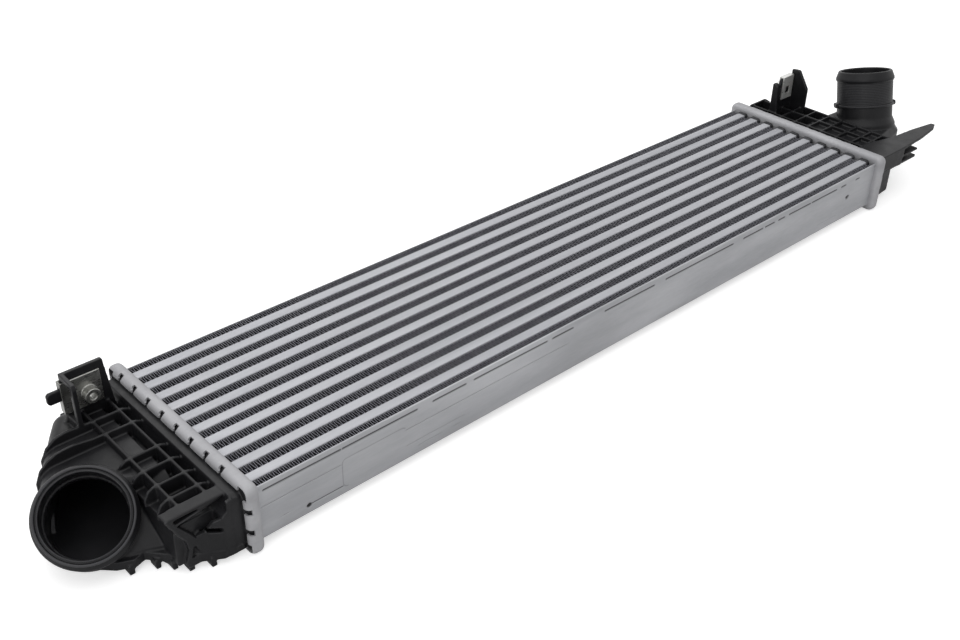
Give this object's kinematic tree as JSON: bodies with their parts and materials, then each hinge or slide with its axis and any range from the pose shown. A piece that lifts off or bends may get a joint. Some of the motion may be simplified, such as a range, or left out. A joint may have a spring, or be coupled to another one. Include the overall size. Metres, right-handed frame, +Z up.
{
  "type": "intercooler",
  "caption": "Charge air cooler: a finned aluminium core of flat tubes with crimped headers and two ribbed plastic end tanks, each with a hose spigot and a bracket.",
  "frame": {"origin": "on the surface that the headers stand on, under the middle of the whole length and of the width", "axes": "+X along the tubes from the inlet tank to the outlet tank, +Y across the rows of tubes towards the brackets, +Z up, the way that the cooling air passes and the outlet spigot points"},
  "size_m": [0.8852, 0.168, 0.0936],
  "materials": {
    "tube": "satin",
    "turbulator": "satin",
    "fin": "satin",
    "side_plate": "satin",
    "header": "satin",
    "gasket": "matte",
    "tank": "satin moulded",
    "clip_nut": "zinc plated"
  },
  "bodies": {
    "root": {"tube_01": "tube", "turbulator_01": "turbulator", "tube_02": "tube", "turbulator_02": "turbulator", "tube_03": "tube", "turbulator_03": "turbulator", "tube_04": "tube", "turbulator_04": "turbulator", "tube_05": "tube", "turbulator_05": "turbulator", "tube_06": "tube", "turbulator_06": "turbulator", "tube_07": "tube", "turbulator_07": "turbulator", "tube_08": "tube", "turbulator_08": "turbulator", "tube_09": "tube", "turbulator_09": "turbulator", "tube_10": "tube", "turbulator_10": "turbulator", "fin_01": "fin", "fin_02": "fin", "fin_03": "fin", "fin_04": "fin", "fin_05": "fin", "fin_06": "fin", "fin_07": "fin", "fin_08": "fin", "fin_09": "fin", "fin_10": "fin", "fin_11": "fin", "side_plate_back": "side_plate", "side_plate_front": "side_plate", "inlet_header": "header", "outlet_header": "header", "inlet_gasket": "gasket", "outlet_gasket": "gasket", "inlet_tank": "tank", "outlet_tank": "tank", "outlet_bracket": "tank", "inlet_clip_nut": "clip_nut", "outlet_clip_nut": "clip_nut"}
  },
  "joints": []
}
